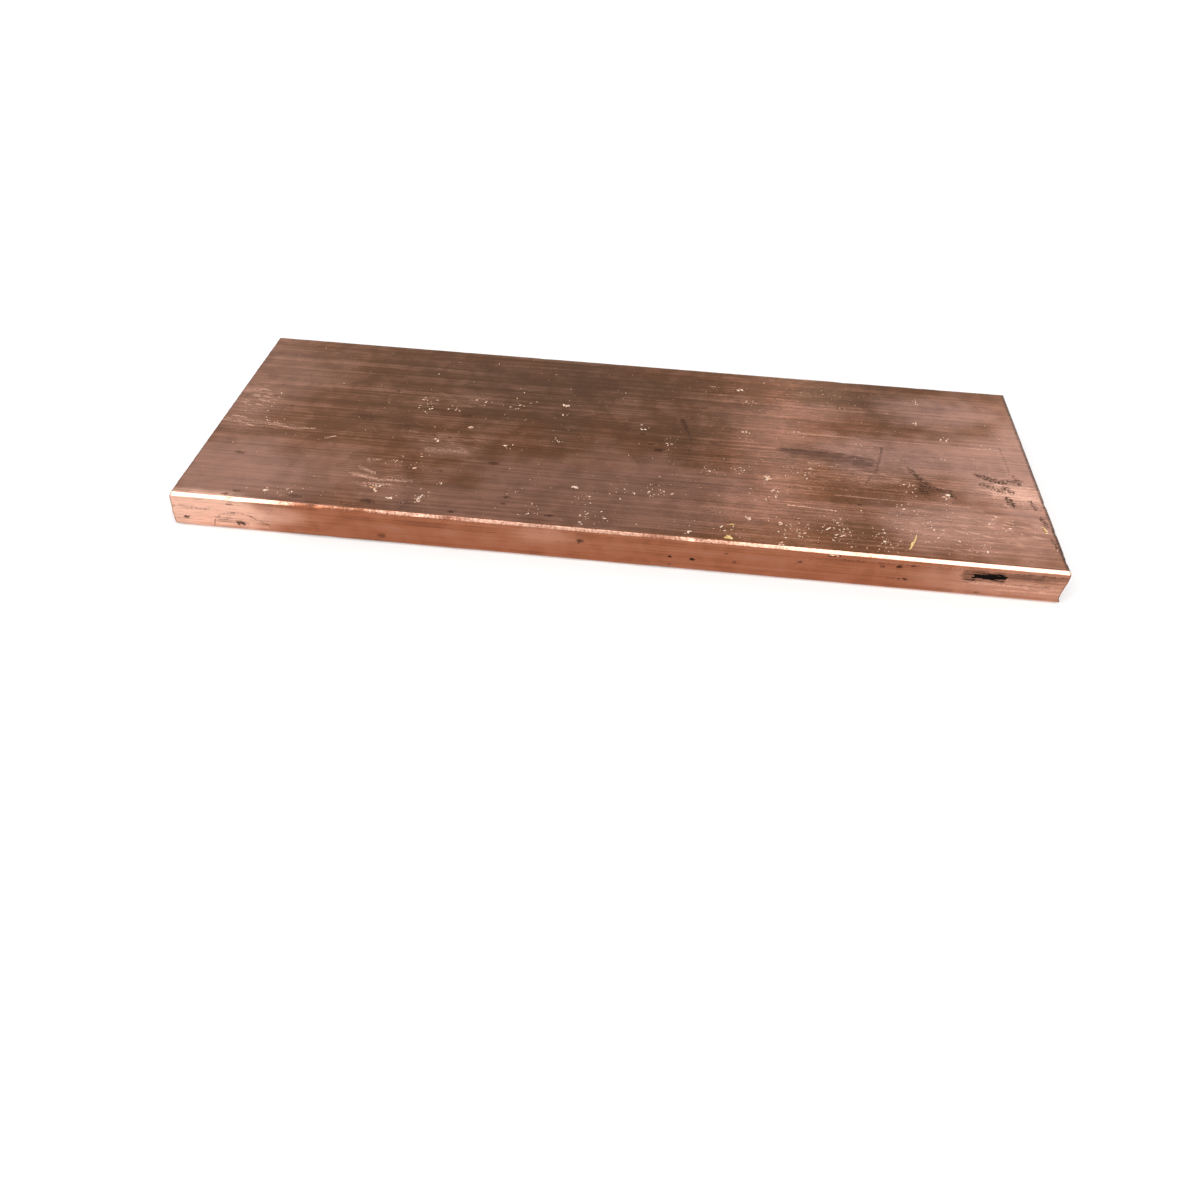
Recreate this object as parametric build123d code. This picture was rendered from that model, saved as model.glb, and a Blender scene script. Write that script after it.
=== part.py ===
from build123d import *
import os

# A short sheared length of drawn flat copper bar, lying on its broad face.
# Sizes are in millimetres. X runs along the bar, Y across it and Z up, and the origin is
# in the middle of the face that the bar lies on.

# The drawn section
bar_length = 215.0
bar_width = 80.0
bar_thickness = 10.0
long_edge_radius = 1.2

# The right-hand end is cut from above: the shear blade draws the top face down over the
# roll, polishes the land below it, and the rest of the thickness tears and leaves a burr
right_roll_reach = 0.9
right_roll_depth = 0.8
right_land_height = 2.4
right_tear_inset = 0.4
right_tear_hollow = 0.1
right_burr_height = 1.8
right_burr_inset = 0.6
right_burr_bulge = 0.5

# The left-hand end is the other side of the same kind of cut, so its roll is underneath
left_roll_reach = 1.7
left_roll_depth = 1.4
left_land_height = 3.2
left_tear_inset = 0.3
left_tear_hollow = 0.05
left_burr_height = 1.6
left_burr_inset = 0.8
left_burr_bulge = 0.12

# How far the uncut stock runs past each end, and each cut past the stock's faces
trim = 5.0


def cut_edge(
    roll_reach,
    roll_depth,
    land_height,
    tear_inset,
    tear_hollow,
    burr_height,
    burr_inset,
    burr_bulge,
):
    """One cut end from the side, from its drawn face at Y = 0 to its burr at Y = -thickness.

    X runs out of the bar and is zero at the land, and the other zones stand back from it: a
    quarter ellipse for the roll, a line for the land, a shallow hollow for the tear and a
    bulging arc for the burr. The furthest point of the finished edge is then set at X = 0.
    """
    land_foot = (0, -roll_depth - land_height)
    tear_foot = (-tear_inset, burr_height - bar_thickness)
    burr_foot = (-burr_inset, -bar_thickness)
    roll = EllipticalCenterArc((-roll_reach, -roll_depth), roll_reach, roll_depth, 90, arc_size=-90)
    land = Line(roll @ 1, land_foot)
    tear = SagittaArc(land_foot, tear_foot, -tear_hollow)
    burr = SagittaArc(tear_foot, burr_foot, burr_bulge)
    edge = Curve() + [roll, land, tear, burr]
    return Pos(-edge.bounding_box().max.X, 0) * edge


def right_edge():
    """The right-hand end's edge in the bar's side view, its roll at the top face."""
    edge = cut_edge(
        right_roll_reach,
        right_roll_depth,
        right_land_height,
        right_tear_inset,
        right_tear_hollow,
        right_burr_height,
        right_burr_inset,
        right_burr_bulge,
    )
    return Pos(bar_length / 2, bar_thickness) * edge


def left_edge():
    """The left-hand end's edge, turned half round so that its roll is at the bottom face."""
    edge = cut_edge(
        left_roll_reach,
        left_roll_depth,
        left_land_height,
        left_tear_inset,
        left_tear_hollow,
        left_burr_height,
        left_burr_inset,
        left_burr_bulge,
    )
    return Pos(-bar_length / 2, 0) * Rot(0, 0, 180) * edge


def drawn_stock():
    """The flat section that the die leaves, with rounded long edges, run past both ends."""
    section = Plane.YZ * RectangleRounded(bar_width, bar_thickness, long_edge_radius)
    return Pos(0, 0, bar_thickness / 2) * extrude(section, bar_length / 2 + trim, both=True)


def offcut(edge, outward):
    """What the shear takes off one end: the side view beyond its edge, run across the width.

    Outward is 1 at the right-hand end and -1 at the left-hand one, where the edge is upside
    down as well.
    """
    drawn_side, burr_side = edge @ 0, edge @ 1
    past_end = outward * (bar_length / 2 + 2 * trim)
    past_drawn_face = drawn_side.Y + outward * trim
    past_burr_face = burr_side.Y - outward * trim
    rim = Polyline(
        drawn_side,
        (drawn_side.X, past_drawn_face),
        (past_end, past_drawn_face),
        (past_end, past_burr_face),
        (burr_side.X, past_burr_face),
        burr_side,
    )
    side_view = make_face(Curve() + [edge, rim])
    return extrude(Plane.XZ * side_view, bar_width / 2 + trim, both=True)


def copper_bar():
    """The drawn stock with its two ends sheared off."""
    return drawn_stock() - offcut(right_edge(), 1) - offcut(left_edge(), -1)


os.makedirs("parts", exist_ok=True)
export_step(copper_bar(), "parts/copper_bar.step")
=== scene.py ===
"""A short sheared length of drawn flat copper bar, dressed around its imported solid.

The file is laid out as an add-on: property groups hold the sizes and colours, and each
operator makes one piece of the scene. Lengths in the code are metres unless a name says mm.
"""

from math import radians
from typing import NamedTuple

import bmesh
import bpy
import numpy as np
from mathutils import Matrix, Vector


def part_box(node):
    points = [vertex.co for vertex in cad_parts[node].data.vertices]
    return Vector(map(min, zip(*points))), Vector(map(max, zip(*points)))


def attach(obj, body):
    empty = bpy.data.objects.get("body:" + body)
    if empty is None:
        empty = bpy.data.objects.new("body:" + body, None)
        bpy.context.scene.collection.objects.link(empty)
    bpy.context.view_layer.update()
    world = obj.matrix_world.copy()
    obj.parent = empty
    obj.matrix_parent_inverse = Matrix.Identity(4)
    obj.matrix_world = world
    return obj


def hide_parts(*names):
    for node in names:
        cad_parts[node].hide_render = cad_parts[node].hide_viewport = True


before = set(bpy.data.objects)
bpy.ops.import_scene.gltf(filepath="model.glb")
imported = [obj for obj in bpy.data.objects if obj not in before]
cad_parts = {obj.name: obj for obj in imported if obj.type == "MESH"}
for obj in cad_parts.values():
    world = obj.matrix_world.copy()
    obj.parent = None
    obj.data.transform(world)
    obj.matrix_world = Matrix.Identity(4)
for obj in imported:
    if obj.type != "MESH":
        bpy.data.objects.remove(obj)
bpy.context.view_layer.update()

bl_info = {
    "name": "Drawn copper bar",
    "version": (1, 0, 0),
    "blender": (4, 5, 0),
    "location": "3D View > Sidebar > Copper Bar",
    "description": "Dresses a sheared length of drawn flat copper bar and lights it",
    "category": "Object",
}

MM = 0.001
BAR_LOW, BAR_HIGH = (np.array(corner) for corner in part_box("copper_bar"))
LENGTH, WIDTH, THICKNESS = BAR_HIGH - BAR_LOW
TOP = BAR_HIGH[2]


class CutEnd(NamedTuple):
    """The zones that a shear leaves across the thickness, from the face that it draws in."""

    roll_reach: float
    roll_depth: float
    land_height: float
    tear_inset: float
    tear_hollow: float
    burr_height: float
    burr_inset: float
    burr_bulge: float


RIGHT_CUT = CutEnd(0.9 * MM, 0.8 * MM, 2.4 * MM, 0.4 * MM, 0.1 * MM, 1.8 * MM, 0.6 * MM, 0.5 * MM)
LEFT_CUT = CutEnd(1.7 * MM, 1.4 * MM, 3.2 * MM, 0.3 * MM, 0.05 * MM, 1.6 * MM, 0.8 * MM, 0.12 * MM)


def linear(red, green, blue):
    """A colour written in screen values from 0 to 255, as the linear values that nodes take."""
    screen = np.array([red, green, blue]) / 255
    values = np.where(screen <= 0.04045, screen / 12.92, ((screen + 0.055) / 1.055) ** 2.4)
    return tuple(float(value) for value in values)


def colour_property(name, description, screen):
    """A colour setting whose default is written in screen values."""
    return bpy.props.FloatVectorProperty(
        name=name, description=description, subtype="COLOR", size=3, min=0, max=1,
        default=linear(*screen),
    )


def length_property(name, description, default):
    """A length setting in metres."""
    return bpy.props.FloatProperty(
        name=name, description=description, default=default, min=0, unit="LENGTH", precision=5
    )


class BarShape(bpy.types.PropertyGroup):
    """Sizes of the bar's surface that the solid leaves plain."""

    long_edge_radius: length_property("Long edge radius", "Rounding that the die leaves", 1.2 * MM)
    wave_height: length_property("Wave height", "Slow rise and fall of the broad faces", 0.05 * MM)
    flat_angle: bpy.props.FloatProperty(
        name="Flat angle",
        description="How far from its middle an edge's rounding is rubbed flat, each way",
        default=radians(22), min=0, max=radians(44), subtype="ANGLE",
    )
    edge_wander: length_property("Edge wander", "How far the long edges are rubbed in", 0.09 * MM)
    tear_height: length_property("Tear height", "Roughness of the torn zones", 0.16 * MM)
    score_depth: length_property("Score depth", "Marks that the blade drags down the land", 0.03 * MM)
    nicks: bpy.props.IntProperty(name="Nicks", description="Nicks along the edges", default=70, min=0)
    dents: bpy.props.IntProperty(name="Dents", description="Dents in the faces", default=60, min=0)


class BarFinish(bpy.types.PropertyGroup):
    """Colours of the copper, from bare metal to the film and stains on it."""

    bare: colour_property("Bare copper", "Rubbed or freshly cut metal", (244, 192, 168))
    film: colour_property("Brown film", "The dull film on the broad faces", (106, 68, 46))
    # Partly an older film and partly painted shade: a darker greenish-brown tone where the middle of the
    # top face reflects dimmer surroundings.
    olive_and_shade: colour_property("Olive film", "The older film near the middle", (95, 66, 48))
    # Partly the thin film near the ends and partly painted reflection: a lighter, pinker tone where the
    # ends of the top face catch brighter light.
    rose_and_sheen: colour_property("Rose film", "The thin film near the ends", (155, 118, 106))
    side: colour_property("Side copper", "The long sides, which the air has hardly dulled", (160, 98, 70))
    torn: colour_property("Torn copper", "The dull grain of a sheared end", (138, 84, 62))
    stain: colour_property("Stain", "Black oxide and dirt", (20, 16, 14))
    rust_brown: colour_property("Brown stain", "Thin oxide around the black one", (64, 40, 30))


class SwarfShape(bpy.types.PropertyGroup):
    """The metal dust and chips that lie on the bar."""

    spread_chips: bpy.props.IntProperty(
        name="Spread chips", description="Chips anywhere on the top face", default=520, min=0
    )
    chip_size: length_property("Chip size", "Middle size of a chip", 0.18 * MM)
    colour: colour_property("Chip colour", "Bright cut copper", (248, 220, 198))
    shaving: colour_property("Shaving colour", "Yellow shavings and splinters", (250, 216, 142))


class StageLook(bpy.types.PropertyGroup):
    """The floor, the lamps and the camera."""

    floor: colour_property("Floor", "Plain pale floor", (231, 231, 231))
    lens: bpy.props.FloatProperty(
        name="Lens", description="Focal length on a 36 mm sensor", default=29.70, min=1, unit="CAMERA"
    )
    lamp_strength: bpy.props.FloatProperty(
        name="Lamp strength", description="Share of the written lamp powers", default=1, min=0
    )


def smooth_noise(points, cell, seed):
    """Value noise from -1 to 1: random numbers on a cubic lattice of the given cell, blended
    between the eight corners around each point with a smooth step."""
    side = 32
    lattice = np.random.default_rng(seed).uniform(-1, 1, (side, side, side))
    position = points / np.asarray(cell, float) + 0.37
    base = np.floor(position).astype(int)
    part = position - base
    blend = part * part * (3 - 2 * part)
    total = np.zeros(len(points))
    for corner in np.ndindex(2, 2, 2):
        weight = np.prod(np.where(corner, blend, 1 - blend), axis=1)
        index = (base + corner) % side
        total += weight * lattice[index[:, 0], index[:, 1], index[:, 2]]
    return total


def smooth_step(low, high, values):
    """0 below low, 1 above high, and a smooth S between them."""
    share = np.clip((values - low) / (high - low), 0, 1)
    return share * share * (3 - 2 * share)


def cut_offset(depth, cut):
    """How far a cut end stands out at a depth below its drawn face, counted from its furthest
    point: a quarter ellipse for the roll, nothing for the land, a straight slope with a shallow
    hollow for the tear and a slope with a bulge for the burr."""
    land_foot = cut.roll_depth + cut.land_height
    burr_start = THICKNESS - cut.burr_height
    up_roll = np.clip(1 - depth / cut.roll_depth, 0, 1)
    down_tear = np.clip((depth - land_foot) / (burr_start - land_foot), 0, 1)
    down_burr = np.clip((depth - burr_start) / cut.burr_height, 0, 1)
    roll = -cut.roll_reach * (1 - np.sqrt(1 - up_roll**2))
    tear = -cut.tear_inset * down_tear - 4 * cut.tear_hollow * down_tear * (1 - down_tear)
    burr = (cut.tear_inset - cut.burr_inset) * down_burr
    burr += 4 * cut.burr_bulge * down_burr * (1 - down_burr)
    return roll + tear + burr


def section_profile(broad_steps, side_steps, arc_steps):
    """The drawn section as four rows of numbers for each point round it: the place of its
    corner's centre, from -1 to 1 across and up, and the way that the face looks there. A flat
    stretch keeps one look and moves its centre from one corner to the next."""
    corners = [(1, -1, -90), (1, 1, 0), (-1, 1, 90), (-1, -1, 180)]
    flats = [side_steps, broad_steps, side_steps, broad_steps]
    parts = []
    for number, ((across, up, angle), steps) in enumerate(zip(corners, flats)):
        turn = np.radians(angle + np.linspace(0, 90, arc_steps, endpoint=False))
        parts.append([np.full(arc_steps, across), np.full(arc_steps, up), np.cos(turn), np.sin(turn)])
        next_across, next_up, _ = corners[(number + 1) % 4]
        share = np.linspace(0, 1, steps, endpoint=False)
        look = np.radians(angle + 90)
        parts.append([
            across + (next_across - across) * share,
            up + (next_up - up) * share,
            np.full(steps, np.cos(look)),
            np.full(steps, np.sin(look)),
        ])
    return np.concatenate([np.array(part, float) for part in parts], axis=1)


def front_edge_share(x):
    """How hard the upper front edge is rubbed at each place along the bar. The values follow where the
    edge's highlight is bright and where it is dull, so the colour made from them is partly a painted
    highlight.
    """
    places = [-108, -80, -75, -60, -50, -10, 28, 40, 60, 108]
    return np.interp(x / MM, places, [1, 0.95, 0.45, 0.4, 0.7, 0.75, 0.75, 0.85, 1, 1])


def bar_grid(radius, flat_angle):
    """The whole bar as one grid of points, rows by columns.

    A row is the drawn section, inset by a distance. The first rows open from the middle line of
    the left-hand end out to its rim, the next ones run along the bar, and the last ones close
    over the right-hand end. An inset section has its corner centres drawn in by the inset or
    the corner radius, whichever is more, and its corners rounded by what is left of the radius.
    The middle of each rounding is drawn in to a flat that is rubbed along the edge: at an angle
    from the middle, the radius is multiplied by the cosine of the flat angle over the cosine of
    that angle. X runs from the left cut's outline to the right one's at the height of each point.
    """
    across, up, look_y, look_z = section_profile(broad_steps=84, side_steps=10, arc_steps=14)
    rim = 1.0 * MM
    near_rim = rim * (1 - np.cos(np.radians(np.linspace(0, 90, 7))))
    to_middle = np.linspace(rim, THICKNESS / 2, 13)[1:]
    insets = np.concatenate([near_rim, to_middle])
    close = 6 * MM / LENGTH
    shares = np.concatenate([
        close * np.linspace(0, 1, 13) ** 1.5,
        np.linspace(close, 1 - close, 290)[1:-1],
        1 - close * np.linspace(1, 0, 13) ** 1.5,
    ])
    inset = np.concatenate([insets[::-1], np.zeros(len(shares) - 2), insets])[:, None]
    share = np.concatenate([np.zeros(len(insets)), shares[1:-1], np.ones(len(insets))])[:, None]
    drawn_in = np.maximum(radius, inset)
    from_middle = np.abs(np.arctan2(np.abs(look_z), np.abs(look_y)) - radians(45))
    flat = 1 - np.cos(flat_angle) / np.cos(np.minimum(from_middle, flat_angle))
    upper_front = (look_y < 0) & (look_z > 0)
    rubbed = np.where(upper_front, front_edge_share(BAR_LOW[0] + LENGTH * share), 0.6)
    rounding = (radius - np.minimum(radius, inset)) * (1 - flat * rubbed)
    y = across * (WIDTH / 2 - drawn_in) + look_y * rounding
    z = THICKNESS / 2 + up * (THICKNESS / 2 - drawn_in) + look_z * rounding
    left = BAR_LOW[0] - cut_offset(z, LEFT_CUT)
    right = BAR_HIGH[0] + cut_offset(THICKNESS - z, RIGHT_CUT)
    x = left + (right - left) * share
    return np.stack([x, y, z], axis=2)


def face_outward(mesh, merge=0.0):
    """Turns every face outward, with points nearer than merge made one first."""
    work = bmesh.new()
    work.from_mesh(mesh)
    if merge:
        bmesh.ops.remove_doubles(work, verts=work.verts, dist=merge)
    bmesh.ops.recalc_face_normals(work, faces=work.faces)
    work.to_mesh(mesh)
    work.free()


def grid_mesh(name, grid):
    """A mesh of four-sided faces over a grid whose columns close round it, with the points that
    fall together merged."""
    rows, columns = grid.shape[:2]
    index = np.arange(rows * columns).reshape(rows, columns)
    here, ahead = index[:-1], index[1:]
    faces = np.stack([here, ahead, np.roll(ahead, -1, axis=1), np.roll(here, -1, axis=1)], axis=2)
    mesh = bpy.data.meshes.new(name)
    mesh.from_pydata(grid.reshape(-1, 3).tolist(), [], faces.reshape(-1, 4).tolist())
    face_outward(mesh, merge=0.001 * MM)
    return mesh


def read_points(mesh):
    """The mesh's points and their normals, as two arrays."""
    points = np.empty(len(mesh.vertices) * 3, np.float32)
    looks = np.empty(len(mesh.vertices) * 3, np.float32)
    mesh.vertices.foreach_get("co", points)
    mesh.vertex_normals.foreach_get("vector", looks)
    return points.reshape(-1, 3).astype(float), looks.reshape(-1, 3).astype(float)


def pits(points, centres, radii, depths):
    """The sum of round pits: each goes down by its depth at its centre and fades as a bell."""
    total = np.zeros(len(points))
    for centre, radius, depth in zip(centres, radii, depths):
        apart = np.sum(((points - centre) / radius) ** 2, axis=1)
        total += depth * np.exp(-2 * apart)
    return total


def end_zones(points):
    """Masks of the sheared ends at each point: how far it is on an end, on the land, and torn.

    The line between land and tear wanders up and down across the width."""
    wander = 0.5 * MM * smooth_noise(points, 5 * MM, 21) + 0.25 * MM * smooth_noise(points, 1.6 * MM, 22)
    on_end, on_land, torn = (np.zeros(len(points)) for _ in range(3))
    ends = (
        (points[:, 0] - BAR_LOW[0], points[:, 2], LEFT_CUT),
        (BAR_HIGH[0] - points[:, 0], THICKNESS - points[:, 2], RIGHT_CUT),
    )
    for behind, depth, cut in ends:
        flush = -cut_offset(depth, cut)
        near = 1 - smooth_step(0.02 * MM, 0.25 * MM, behind - flush)
        land_foot = cut.roll_depth + cut.land_height
        past_roll = smooth_step(0.5 * cut.roll_depth, cut.roll_depth, depth)
        past_land = smooth_step(-0.2 * MM, 0.2 * MM, depth - land_foot - wander)
        on_end += near * past_roll
        on_land += near * past_roll * (1 - past_land)
        torn += near * past_land
    return on_end, on_land, torn


def end_rims(points):
    """1 within a few tenths of a millimetre of a cut end, and 0 further along the bar."""
    behind = np.minimum(
        points[:, 0] - BAR_LOW[0] + cut_offset(points[:, 2], LEFT_CUT),
        BAR_HIGH[0] - points[:, 0] + cut_offset(THICKNESS - points[:, 2], RIGHT_CUT),
    )
    return 1 - smooth_step(0.05 * MM, 0.45 * MM, behind)


def long_edge_share(looks):
    """1 where the face looks halfway between a broad face and a side, and 0 on the flats."""
    return np.clip(2 * np.abs(looks[:, 1] * looks[:, 2]), 0, 1)


def nick_places(count, rng):
    """Random places along the four long edges and the two ends' rims."""
    along = rng.uniform(BAR_LOW[0], BAR_HIGH[0], count)
    side = rng.choice([-1, 1], count) * WIDTH / 2
    height = rng.choice([0, THICKNESS], count, p=[0.35, 0.65])
    places = np.stack([along, side, height], axis=1)
    on_rim = rng.uniform(0, 1, count) < 0.35
    places[on_rim, 0] = rng.choice([BAR_LOW[0], BAR_HIGH[0]], on_rim.sum())
    places[on_rim, 1] = rng.uniform(-WIDTH / 2, WIDTH / 2, on_rim.sum())
    return places


def bar_relief(points, looks, shape):
    """How far each point moves in along its normal: slow waves, rubbed and nicked edges, dents,
    blade scores on the lands and a coarse grain on the tears. Nothing moves out, so the bar
    stays within its solid."""
    rng = np.random.default_rng(9)
    edge = long_edge_share(looks)
    _, on_land, torn = end_zones(points)
    drawn = 1 - np.clip(on_land + torn, 0, 1)
    waves = 0.5 + 0.3 * smooth_noise(points, (46 * MM, 22 * MM, 30 * MM), 1)
    waves += 0.2 * smooth_noise(points, (17 * MM, 6 * MM, 6 * MM), 2)
    rubbed = 0.5 + 0.35 * smooth_noise(points, (9 * MM, 30 * MM, 30 * MM), 3)
    rubbed += 0.15 * smooth_noise(points, 1.8 * MM, 4)
    grain = 0.5 + 0.3 * smooth_noise(points, (1.2 * MM, 1.7 * MM, 0.8 * MM), 5)
    grain += 0.2 * smooth_noise(points, 0.6 * MM, 6)
    scores = 0.5 + 0.5 * smooth_noise(points, (2 * MM, 0.9 * MM, 9 * MM), 7)
    nicks = pits(
        points,
        nick_places(shape.nicks, rng),
        rng.uniform(0.5, 1.6, shape.nicks)[:, None] * MM * np.array([1.4, 0.9, 0.9]),
        rng.uniform(0.05, 0.28, shape.nicks) * MM,
    )
    dent_centres = np.stack([
        rng.uniform(BAR_LOW[0], BAR_HIGH[0], shape.dents),
        rng.uniform(-WIDTH / 2, WIDTH / 2, shape.dents),
        rng.choice([0, THICKNESS], shape.dents),
    ], axis=1)
    dents = pits(
        points,
        dent_centres,
        rng.uniform(0.8, 2.6, shape.dents)[:, None] * MM * np.array([1.3, 1.0, 1.0]),
        rng.uniform(0.02, 0.07, shape.dents) * MM,
    )
    inward = shape.wave_height * waves * drawn
    inward += shape.edge_wander * rubbed * edge
    inward += shape.tear_height * grain * torn
    inward += shape.score_depth * scores * on_land
    return -(inward + nicks + dents)


def set_attribute(mesh, name, values):
    """Stores one number for each point, for the material to read."""
    attribute = mesh.attributes.new(name, "FLOAT", "POINT")
    attribute.data.foreach_set("value", np.asarray(values, np.float32))


class Patch(NamedTuple):
    """A soft oval patch, in millimetres: its centre, its radii and how strong it is."""

    centre: tuple
    radii: tuple
    strength: float


# Darker greenish-brown patches over the middle and back of the top face: partly older film and partly
# painted shade, standing in for dim reflections there.
OLIVE_AND_SHADE_PATCHES = (
    Patch((-20, 20, 10), (48, 30, 4), 0.9),
    Patch((10, 14, 10), (40, 24, 4), 0.6),
    Patch((-64, 18, 10), (36, 34, 4), 0.5),
    Patch((55, -1, 10), (26, 8, 4), 0.6),
    Patch((60, 30, 10), (20, 14, 4), 0.9),
    Patch((55, -27, 10), (18, 9, 4), 0.6),
)

# Pinkish patches, mostly towards the ends: partly thinner film and partly painted reflection, which
# lightens the ends of the top face as brighter light would.
ROSE_AND_SHEEN_PATCHES = (
    Patch((-98, -30, 10), (30, 22, 4), 0.65),
    Patch((-102, 16, 10), (24, 44, 4), 0.35),
    Patch((-84, -30, 10), (32, 24, 4), 0.4),
    Patch((108, 0, 10), (34, 44, 4), 0.75),
    Patch((90, 26, 10), (26, 13, 4), 0.75),
    Patch((84, -25, 10), (24, 13, 4), 0.6),
    Patch((78, 2, 10), (38, 14, 4), 0.75),
    Patch((0, -22, 10), (56, 18, 4), 0.4),
    Patch((52, 22, 10), (30, 7, 4), 0.2),
    Patch((96, -30, 10), (26, 16, 4), 0.4),
    Patch((-44, -12, 10), (14, 5, 4), 0.25),
    Patch((-30, -34, 10), (60, 12, 4), 0.35),
    Patch((38, -4, 10), (16, 44, 4), 0.25),
    Patch((18, -30, 10), (30, 12, 4), 0.35),
)

SCUFF_PATCHES = (
    Patch((-58, -26, 10), (10, 7, 3), 0.35),
    Patch((-94, -7, 10), (15, 2.2, 3), 1.0),
    Patch((-102, 6, 10), (8, 8, 3), 0.8),
    Patch((98, -10, 10), (12, 8, 3), 0.8),
    Patch((84, -26, 10), (26, 12, 3), 0.4),
    Patch((-46, -9, 10), (14, 7, 3), 0.35),
    Patch((66, -8, 10), (36, 7, 3), 0.4),
    Patch((-47, 12, 10), (14, 6, 3), 0.3),
    Patch((97, -40, 4), (14, 3, 3), 0.8),
    Patch((-96, -40, 7), (14, 3, 2), 0.6),
)

# Painted sheen: bare copper colour laid over the ends of the front side and a spot on the top, standing
# in for the bright reflection there.
PAINTED_SHEEN_PATCHES = (
    Patch((-104, -40, 5), (30, 3, 9), 0.95),
    Patch((-84, -40, 6), (20, 3, 4), 0.4),
    Patch((100, -40, 4), (30, 3, 7), 0.3),
    Patch((-16, -40, 7), (12, 3, 3), 0.2),
    Patch((101.5, -9, 10), (8, 5, 3), 0.2),
)


def soft_patches(points, places, seed):
    """The strongest of several soft patches at each point, their rims pushed about by noise."""
    push = 0.3 * smooth_noise(points, 11 * MM, seed) + 0.15 * smooth_noise(points, 3 * MM, seed + 1)
    total = np.zeros(len(points))
    for place in places:
        offset = (points / MM - place.centre) / place.radii
        away = np.linalg.norm(offset, axis=1) + push
        total = np.maximum(total, place.strength * (1 - smooth_step(0.3, 1.05, away)))
    return total


def rubbed_edges_and_highlight(points, looks):
    """How far each long edge is rubbed bare: uneven along the bar, and most near the ends of the front
    edge.
    This is partly real rubbing and partly a painted highlight, whose strength along the front edge
    follows the edge's reflection."""
    front = front_edge_share(points[:, 0])
    uneven = 0.85 + 0.3 * smooth_noise(points, (7 * MM, 40 * MM, 40 * MM), 31)
    share = np.where(points[:, 1] < 0, front, 0.6) * uneven
    return smooth_step(0.5, 0.95, long_edge_share(looks)) * share


def lay_lines_out(mesh):
    """A UV map whose first direction runs across the drawing lines: along Y on the broad faces
    and up on the sides. On the ends it runs across the bar."""
    points, _ = read_points(mesh)
    corners = np.empty(len(mesh.loops), np.int32)
    mesh.loops.foreach_get("vertex_index", corners)
    looks = np.empty(len(mesh.polygons) * 3, np.float32)
    mesh.polygons.foreach_get("normal", looks)
    sizes = np.empty(len(mesh.polygons), np.int32)
    mesh.polygons.foreach_get("loop_total", sizes)
    look = np.abs(np.repeat(looks.reshape(-1, 3), sizes, axis=0))
    x, y, z = points[corners].T
    on_end = look[:, 0] > 0.7
    upright = look[:, 1] > look[:, 2]
    across = np.where(on_end | ~upright, y, z)
    along = np.where(on_end, z, x)
    layer = mesh.uv_layers.new(name="across_lines")
    layer.uv.foreach_set("vector", np.stack([across, along], axis=1).astype(np.float32).ravel() * 4)


def show_piece(name, mesh, material):
    """Puts a finished mesh in the scene as a piece that rides on the bar's body."""
    mesh.materials.append(material)
    piece = bpy.data.objects.new(name, mesh)
    bpy.context.scene.collection.objects.link(piece)
    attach(piece, "root")
    return piece


class Nodes:
    """A node tree with short calls: each call adds a node and returns one of its outputs."""

    def __init__(self, tree):
        self.tree = tree

    def add(self, kind, inputs=(), output=0, **settings):
        """A node of a kind. An input is a socket to link or a value; output None gives the node."""
        node = self.tree.nodes.new(kind)
        for name, value in settings.items():
            setattr(node, name, value)
        for key, value in dict(inputs).items():
            if isinstance(value, bpy.types.NodeSocket):
                self.tree.links.new(value, node.inputs[key])
            else:
                node.inputs[key].default_value = value
        return node.outputs[output] if output is not None else node

    def math(self, operation, first, second=0.0, clamp=False):
        """Arithmetic on two numbers."""
        return self.add("ShaderNodeMath", {0: first, 1: second}, operation=operation, use_clamp=clamp)

    def times_plus(self, first, second, third):
        """The first number times the second, plus the third."""
        return self.add("ShaderNodeMath", {0: first, 1: second, 2: third}, operation="MULTIPLY_ADD")

    def vector(self, operation, first, second=(0, 0, 0), output=0):
        """Arithmetic on two vectors."""
        return self.add("ShaderNodeVectorMath", {0: first, 1: second}, output, operation=operation)

    def between(self, value, low, high, start=0.0, end=1.0):
        """A smooth step of value from low to high, put out from start to end."""
        inputs = {0: value, 1: low, 2: high, 3: start, 4: end}
        return self.add("ShaderNodeMapRange", inputs, interpolation_type="SMOOTHSTEP")

    def noise(self, position, scale=1.0, detail=2.0, roughness=0.5, distortion=0.0):
        """Smooth noise around 0.5."""
        inputs = {
            "Vector": position, "Scale": scale, "Detail": detail,
            "Roughness": roughness, "Distortion": distortion,
        }
        return self.add("ShaderNodeTexNoise", inputs, 0)

    def mix(self, share, first, second):
        """The first colour, and the second where share is 1."""
        node = self.add("ShaderNodeMix", output=None, data_type="RGBA")
        for number, value in ((0, share), (6, first), (7, second)):
            socket = node.inputs[number]
            if isinstance(value, bpy.types.NodeSocket):
                self.tree.links.new(value, socket)
            elif socket.type == "RGBA":
                socket.default_value = (*value[:3], 1)
            else:
                socket.default_value = value
        return node.outputs[2]

    def group(self, group, inputs=()):
        """One use of a node group."""
        return self.add("ShaderNodeGroup", inputs, node_tree=group)


def new_group(name, inputs, outputs):
    """An empty shader group with named sockets, its Nodes and its two end nodes."""
    tree = bpy.data.node_groups.new(name, "ShaderNodeTree")
    for label, kind, default in inputs:
        socket = tree.interface.new_socket(label, in_out="INPUT", socket_type=kind)
        socket.default_value = default
    for label, kind in outputs:
        tree.interface.new_socket(label, in_out="OUTPUT", socket_type=kind)
    start = tree.nodes.new("NodeGroupInput")
    end = tree.nodes.new("NodeGroupOutput")
    return tree, Nodes(tree), start.outputs, end.inputs


VALUE = "NodeSocketFloat"
VECTOR = "NodeSocketVector"


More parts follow.
